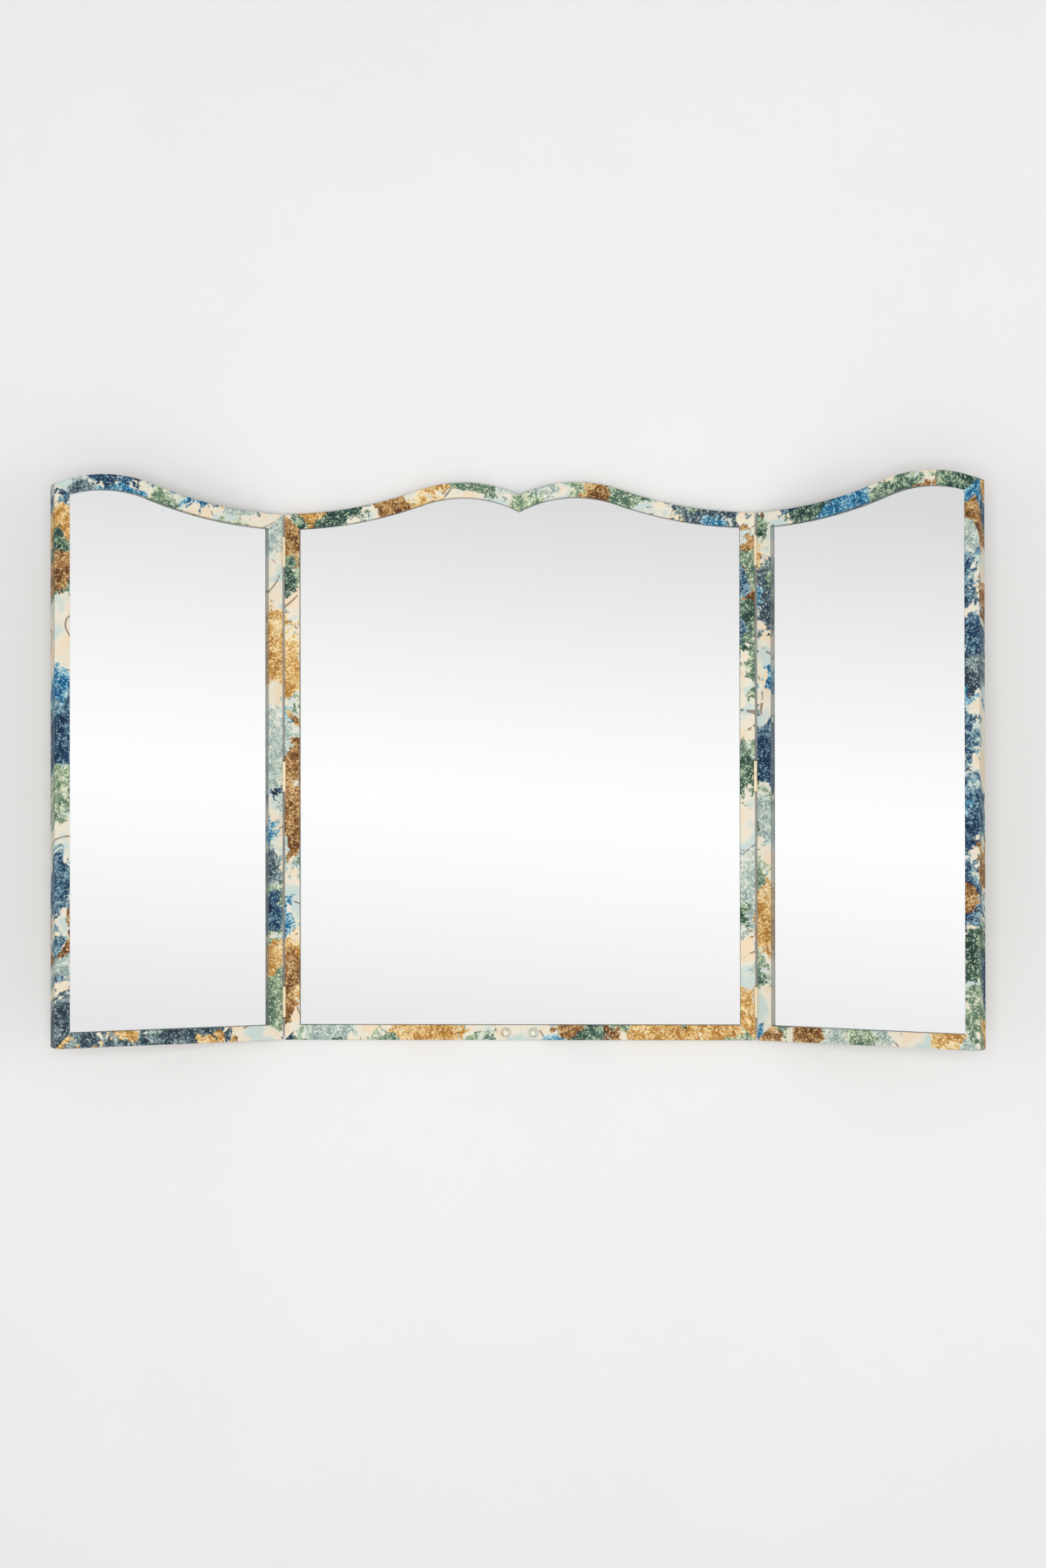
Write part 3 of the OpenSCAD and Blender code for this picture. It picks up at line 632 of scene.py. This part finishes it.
# Where a covering turns in beside the glass its print is darkened by painted shade, which the mirror doubles
# to a thin dark line
lipShade = {
    "colour": (0.19, 0.225, 0.24),
    "share": 0.85,
    "depths": (0.0006, 0.0022, 0.0065),  # behind the front face, where it starts, is full, and is faint again
    "faint": 0.35,
    "facing": (0.5, 0.9),  # how squarely a face must look at the glass to start shading and to be full
}
towardsGlass = {"top": (0, 0, -1), "bottom": (0, 0, 1), "left": (1, 0, 0), "right": (-1, 0, 0)}
wingSides = {  # which side of its wing each upright is
    "left_wing": {"end": "left", "hinge": "right"},
    "right_wing": {"hinge": "left", "end": "right"},
}


# How much painted shade a covering's turned-in lip takes, by how squarely it faces the glass and how deep
# behind the front it lies
def lipPaintedShade(tree, panel, member, y):
    side = wingSides.get(panel, {}).get(member, member)
    inwards = Vector(towardsGlass[side])
    if panel != "centre":
        inwards.rotate(Matrix.Rotation(panelTurn(panel), 3, "Z"))
    facing = calcVector(tree, "DOT_PRODUCT", coordinates(tree, "Normal"), inwards)
    facesIn = between(tree, facing, *lipShade["facing"])
    front = panelDepth(panel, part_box("centre_bottom_cover")[0].y)
    start, full, end = [front + depth for depth in lipShade["depths"]]
    dark = between(tree, y, start, full, 0.0, lipShade["share"])
    dark = calc(tree, "MULTIPLY", dark, between(tree, y, full, end, 1.0, lipShade["faint"]))
    return calc(tree, "MULTIPLY", facesIn, dark)


def coveringMaterial(panel, member, leafPrint):
    material, tree, shader = newMaterial(panel + "_" + member + "_covering")
    x, y, z = splitVector(tree, panelPlace(tree, panel))
    flat = joinVector(tree, calc(tree, "ADD", x, y), calc(tree, "ADD", z, y), 0.0)
    turn, across, up = stretches[panel][member]
    stretch = newNode(tree, "ShaderNodeMapping")
    stretch.inputs["Location"].default_value = (across, up, 0.0)
    stretch.inputs["Rotation"].default_value = (0.0, 0.0, math.radians(turn))
    stretch.inputs["Scale"].default_value = (millimetres, millimetres, 1.0)
    feed(tree, stretch.inputs["Vector"], flat)
    drawn = useGroup(tree, leafPrint, Place=stretch.outputs[0])
    # The painted shade on the lip beside the glass
    shaded = mixColours(tree, lipPaintedShade(tree, panel, member, y), drawn["Colour"], opaque(lipShade["colour"]))
    feed(tree, shader.inputs["Base Color"], shaded)
    feed(tree, shader.inputs["Roughness"], between(tree, drawn["Height"], 0.2, 1.0, *cloth["roughness"]))
    shader.inputs["Specular IOR Level"].default_value = cloth["specular"]
    bumped(tree, shader, drawn["Height"], cloth["depth"], cloth["strength"])
    return material


def addCoverings():
    leafPrint = printGroup()
    for panel, members in stretches.items():
        for member in members:
            node = nodes[panel + "_" + member + "_cover"]
            node.data.materials[0] = coveringMaterial(panel, member, leafPrint)


# The mirror glass, silvered behind, reflects from its front
mirrorFinish = {
    "silver": (0.950, 0.955, 0.953),
    "thin": (0.940, 0.948, 0.946),  # where the silvering is a little thinner
    "patches": 9.0,
    "edge": (0.16, 0.24, 0.21),
    "edgeRoughness": 0.4,
    "frontDepth": 0.0004,  # deeper than this the glass shows its edge
    "smears": 30.0,
    "roughness": (0.006, 0.016),
}


def mirrorMaterial(panel):
    material, tree, shader = newMaterial(panel + "_silvering")
    place = panelPlace(tree, panel)
    _, y, _ = splitVector(tree, place)
    face = panelDepth(panel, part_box("centre_mirror")[0].y)
    front = between(tree, y, face + mirrorFinish["frontDepth"], face + mirrorFinish["frontDepth"] / 2)
    patches = noise(tree, place, mirrorFinish["patches"], 3.0)["Fac"]
    silver = mixColours(tree, patches, opaque(mirrorFinish["silver"]), opaque(mirrorFinish["thin"]))
    feed(tree, shader.inputs["Base Color"], mixColours(tree, front, opaque(mirrorFinish["edge"]), silver))
    smears = noise(tree, place, mirrorFinish["smears"], 4.0)["Fac"]
    smears = between(tree, smears, 0.35, 0.75, *mirrorFinish["roughness"])
    feed(tree, shader.inputs["Roughness"], mixNumbers(tree, front, mirrorFinish["edgeRoughness"], smears))
    shader.inputs["Metallic"].default_value = 1.0
    return material


# The metals: polished brass hinges, and zinc plated steel on the back
metals = {
    "hingeBrass": {
        "light": (1.0, 0.86, 0.62),
        "dark": (0.93, 0.71, 0.44),
        "roughness": (0.12, 0.26),
        "patch": 160.0,
        "lines": (300.0, 300.0, 4200.0),  # fine turning lines round the knuckles
        "depth": 0.000005,
    },
    "zincSteel": {
        "light": (0.74, 0.75, 0.76),
        "dark": (0.60, 0.60, 0.56),
        "roughness": (0.24, 0.42),
        "patch": 120.0,
        "lines": (2600.0, 900.0, 300.0),
        "depth": 0.00002,
    },
}
metalWear = {
    "shares": (0.35, 0.75),  # of the lines and of the patches
    "tarnish": (0.5, 0.85),  # the wear where the colour starts to darken and is dark
    "dulling": (0.35, 0.8),  # the wear where the metal starts to dull and is dull
    "strength": 0.25,
}


def metalMaterial(name):
    finish = metals[name]
    material, tree, shader = newMaterial(name)
    place = coordinates(tree, "Object")
    patches = noise(tree, place, finish["patch"], 4.0, 0.6)["Fac"]
    lines = noise(tree, calcVector(tree, "MULTIPLY", place, finish["lines"]), 1.0, 2.0)["Fac"]
    lineShare, patchShare = metalWear["shares"]
    wear = calc(tree, "MULTIPLY_ADD", lines, lineShare, calc(tree, "MULTIPLY", patches, patchShare))
    tarnish = between(tree, wear, *metalWear["tarnish"])
    colour = mixColours(tree, tarnish, opaque(finish["light"]), opaque(finish["dark"]))
    feed(tree, shader.inputs["Base Color"], colour)
    feed(tree, shader.inputs["Roughness"], between(tree, wear, *metalWear["dulling"], *finish["roughness"]))
    shader.inputs["Metallic"].default_value = 1.0
    bumped(tree, shader, lines, finish["depth"], metalWear["strength"])
    return material


# The frame's wood, planed softwood with its grain along each member
woodGrain = {
    "early": (0.72, 0.54, 0.33),
    "late": (0.50, 0.32, 0.16),
    "stretch": 0.045,  # scale of the figure along the grain, which draws it out about 22 times
    "rings": 210.0,
    "ringRange": (0.45, 0.62),  # the rings' noise where late wood starts and is full
    "bends": (35.0, 0.012),  # how many to a metre across the grain, and how far they push the rings
    "fibres": 1400.0,
    "fibreShare": 0.5,
    "roughness": (0.72, 0.55),
    "specular": 0.35,
    "depth": 0.0001,
    "strength": 0.4,
}


def woodMaterial(panel, member):
    material, tree, shader = newMaterial(panel + "_" + member + "_wood")
    level = member in ("top", "bottom")
    stretch = (woodGrain["stretch"], 1.0, 1.0) if level else (1.0, 1.0, woodGrain["stretch"])
    place = calcVector(tree, "MULTIPLY", panelPlace(tree, panel), stretch)
    bends, reach = woodGrain["bends"]
    bend = centred(tree, noise(tree, place, bends, 2.0)["Color"])
    bent = calcVector(tree, "ADD", place, scaled(tree, bend, reach))
    rings = noise(tree, bent, woodGrain["rings"], 1.0)["Fac"]
    rings = between(tree, rings, *woodGrain["ringRange"])
    fibres = noise(tree, place, woodGrain["fibres"], 3.0, 0.6)["Fac"]
    share = woodGrain["fibreShare"]
    fibres = calc(tree, "MULTIPLY_ADD", fibres, share, -share / 2)
    figure = calc(tree, "ADD", rings, fibres)
    late = between(tree, figure, 0.0, 1.0)
    colour = mixColours(tree, late, opaque(woodGrain["early"]), opaque(woodGrain["late"]))
    feed(tree, shader.inputs["Base Color"], colour)
    feed(tree, shader.inputs["Roughness"], between(tree, figure, 0.0, 1.0, *woodGrain["roughness"]))
    shader.inputs["Specular IOR Level"].default_value = woodGrain["specular"]
    bumped(tree, shader, figure, woodGrain["depth"], woodGrain["strength"])
    return material


# The backing boards: smooth brown fibreboard with short loose fibres in its face
boardFace = {
    "light": (0.42, 0.285, 0.175),
    "dark": (0.245, 0.155, 0.090),
    "tone": (-0.75, 0.9, 1.2),  # the base, then shares of the mottle and of the fibres
    "toneRange": (0.0, 0.9),
    "mottle": 38.0,
    "fibres": 850.0,
    "fibreTurn": 65,  # degrees from the first layer of fibres to the second
    "fibreScales": (0.22, 0.25),  # of each layer along its fibres
    "fleck": (0.56, 0.42, 0.28),
    "fleckRange": (0.68, 0.76),  # the fibres' noise where flecks start and are full
    "fleckShare": 0.7,
    "roughness": (0.5, 0.7),
    "specular": 0.35,
    "depth": 0.00015,
    "strength": 0.5,
}


def boardMaterial(panel):
    material, tree, shader = newMaterial(panel + "_fibreboard")
    place = panelPlace(tree, panel)
    mottle = noise(tree, place, boardFace["mottle"], 4.0, 0.6)["Fac"]
    turned = newNode(tree, "ShaderNodeVectorRotate", rotation_type="Y_AXIS")
    feed(tree, turned.inputs["Vector"], place)
    turned.inputs["Angle"].default_value = math.radians(boardFace["fibreTurn"])
    fibres = 0.0
    for direction, scale in zip((place, turned.outputs[0]), boardFace["fibreScales"]):
        along = calcVector(tree, "MULTIPLY", direction, (scale, 1.0, 1.0))
        layer = noise(tree, along, boardFace["fibres"], 2.0, 0.55)["Fac"]
        fibres = calc(tree, "MAXIMUM", fibres, layer)
    base, mottled, fibrous = boardFace["tone"]
    tone = calc(tree, "MULTIPLY_ADD", fibres, fibrous, base)
    tone = between(tree, calc(tree, "MULTIPLY_ADD", mottle, mottled, tone), *boardFace["toneRange"])
    colour = mixColours(tree, tone, opaque(boardFace["dark"]), opaque(boardFace["light"]))
    flecks = between(tree, fibres, *boardFace["fleckRange"], 0.0, boardFace["fleckShare"])
    feed(tree, shader.inputs["Base Color"], mixColours(tree, flecks, colour, opaque(boardFace["fleck"])))
    feed(tree, shader.inputs["Roughness"], between(tree, fibres, 0.4, 0.8, *boardFace["roughness"]))
    shader.inputs["Specular IOR Level"].default_value = boardFace["specular"]
    bumped(tree, shader, fibres, boardFace["depth"], boardFace["strength"])
    return material


# The clear bumpers, of soft cast plastic: a straight rim under a round dome
clearPlastic = {
    "sides": 64,
    "rim": 0.0011,
    "rings": 9,
    "smoothTo": 35,  # degrees, up to which an edge is shaded smooth
    "filmGap": 0.00004,  # the clear glue between a bumper and the covering
    "colour": (0.95, 0.965, 0.96),
    "cloudy": (0.90, 0.92, 0.915),
    "clouds": 260.0,
    "roughness": (0.04, 0.10),
    "refraction": 1.45,
    "ripples": 700.0,
    "depth": 0.00002,
    "strength": 0.3,
}


def addBumper(side, material):
    low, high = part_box(side + "_bumper")
    radius, height = (high.x - low.x) / 2, high.y - low.y - clearPlastic["filmGap"]
    cap = height - clearPlastic["rim"]
    domeRadius = (radius ** 2 + cap ** 2) / (2 * cap)
    bpy.ops.mesh.primitive_circle_add(vertices=clearPlastic["sides"], radius=radius, fill_type="NGON")
    bumper = bpy.context.object
    bumper.name = side + "ClearBumper"
    bpy.ops.object.mode_set(mode="EDIT")
    bpy.ops.mesh.select_all(action="SELECT")
    bpy.ops.mesh.extrude_region_move(TRANSFORM_OT_translate={"value": (0, 0, clearPlastic["rim"])})
    ringRadius, ringHeight = radius, 0.0
    widest = math.asin(radius / domeRadius)
    for ring in range(1, clearPlastic["rings"] + 1):
        angle = widest * (1 - ring / (clearPlastic["rings"] + 1))
        newRadius, newHeight = domeRadius * math.sin(angle), cap - domeRadius * (1 - math.cos(angle))
        bpy.ops.mesh.extrude_region_move(TRANSFORM_OT_translate={"value": (0, 0, newHeight - ringHeight)})
        share = newRadius / ringRadius
        bpy.ops.transform.resize(value=(share, share, 1))
        ringRadius, ringHeight = newRadius, newHeight
    bpy.ops.mesh.extrude_region_move(TRANSFORM_OT_translate={"value": (0, 0, cap - ringHeight)})
    bpy.ops.mesh.merge(type="CENTER")
    bpy.ops.mesh.select_all(action="SELECT")
    bpy.ops.mesh.normals_make_consistent(inside=False)
    bpy.ops.object.mode_set(mode="OBJECT")
    middle = Vector(((low.x + high.x) / 2, high.y - clearPlastic["filmGap"], (low.z + high.z) / 2))
    bumper.data.transform(Matrix.Translation(middle) @ Matrix.Rotation(math.radians(90), 4, "X"))
    bpy.ops.object.shade_smooth_by_angle(angle=math.radians(clearPlastic["smoothTo"]))
    bumper.data.materials.append(material)
    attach(bumper, "centre_panel")
    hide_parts(side + "_bumper")
    bumper.select_set(False)


def bumperMaterial():
    material, tree, shader = newMaterial("clearPlastic")
    place = coordinates(tree, "Object")
    cloud = noise(tree, place, clearPlastic["clouds"], 3.0)["Fac"]
    cloudiness = between(tree, cloud, 0.45, 0.7)
    colour = mixColours(tree, cloudiness, opaque(clearPlastic["colour"]), opaque(clearPlastic["cloudy"]))
    feed(tree, shader.inputs["Base Color"], colour)
    feed(tree, shader.inputs["Roughness"], between(tree, cloud, 0.35, 0.7, *clearPlastic["roughness"]))
    shader.inputs["Transmission Weight"].default_value = 1.0
    shader.inputs["IOR"].default_value = clearPlastic["refraction"]
    ripples = noise(tree, place, clearPlastic["ripples"], 2.0)["Fac"]
    bumped(tree, shader, ripples, clearPlastic["depth"], clearPlastic["strength"])
    return material


def addBumpers():
    clear = bumperMaterial()
    for side in ("left", "right"):
        addBumper(side, clear)


def finishPanels():
    for panel, members in stretches.items():
        nodes[panel + "_mirror"].data.materials[0] = mirrorMaterial(panel)
        nodes[panel + "_backing_board"].data.materials[0] = boardMaterial(panel)
        for member in members:
            nodes[panel + "_" + member + "_core"].data.materials[0] = woodMaterial(panel, member)


def finishMetals():
    brass, steel = metalMaterial("hingeBrass"), metalMaterial("zincSteel")
    for name, node in nodes.items():
        if name.endswith(("_leaf", "_pin", "_leaf_screws")):
            node.data.materials[0] = brass
        elif name.endswith(("_screws", "_hanger_plate")):
            node.data.materials[0] = steel


addCamera()
addWorld()
addLamps()
addStage()
print("studio: camera, world, lamps and stage")
addCoverings()
print("coverings: printed")
addBumpers()
print("bumpers: modelled")
finishPanels()
print("glass, wood and boards: finished")
finishMetals()
print("metals: finished")

bpy.context.scene.view_settings.view_transform = "Standard"
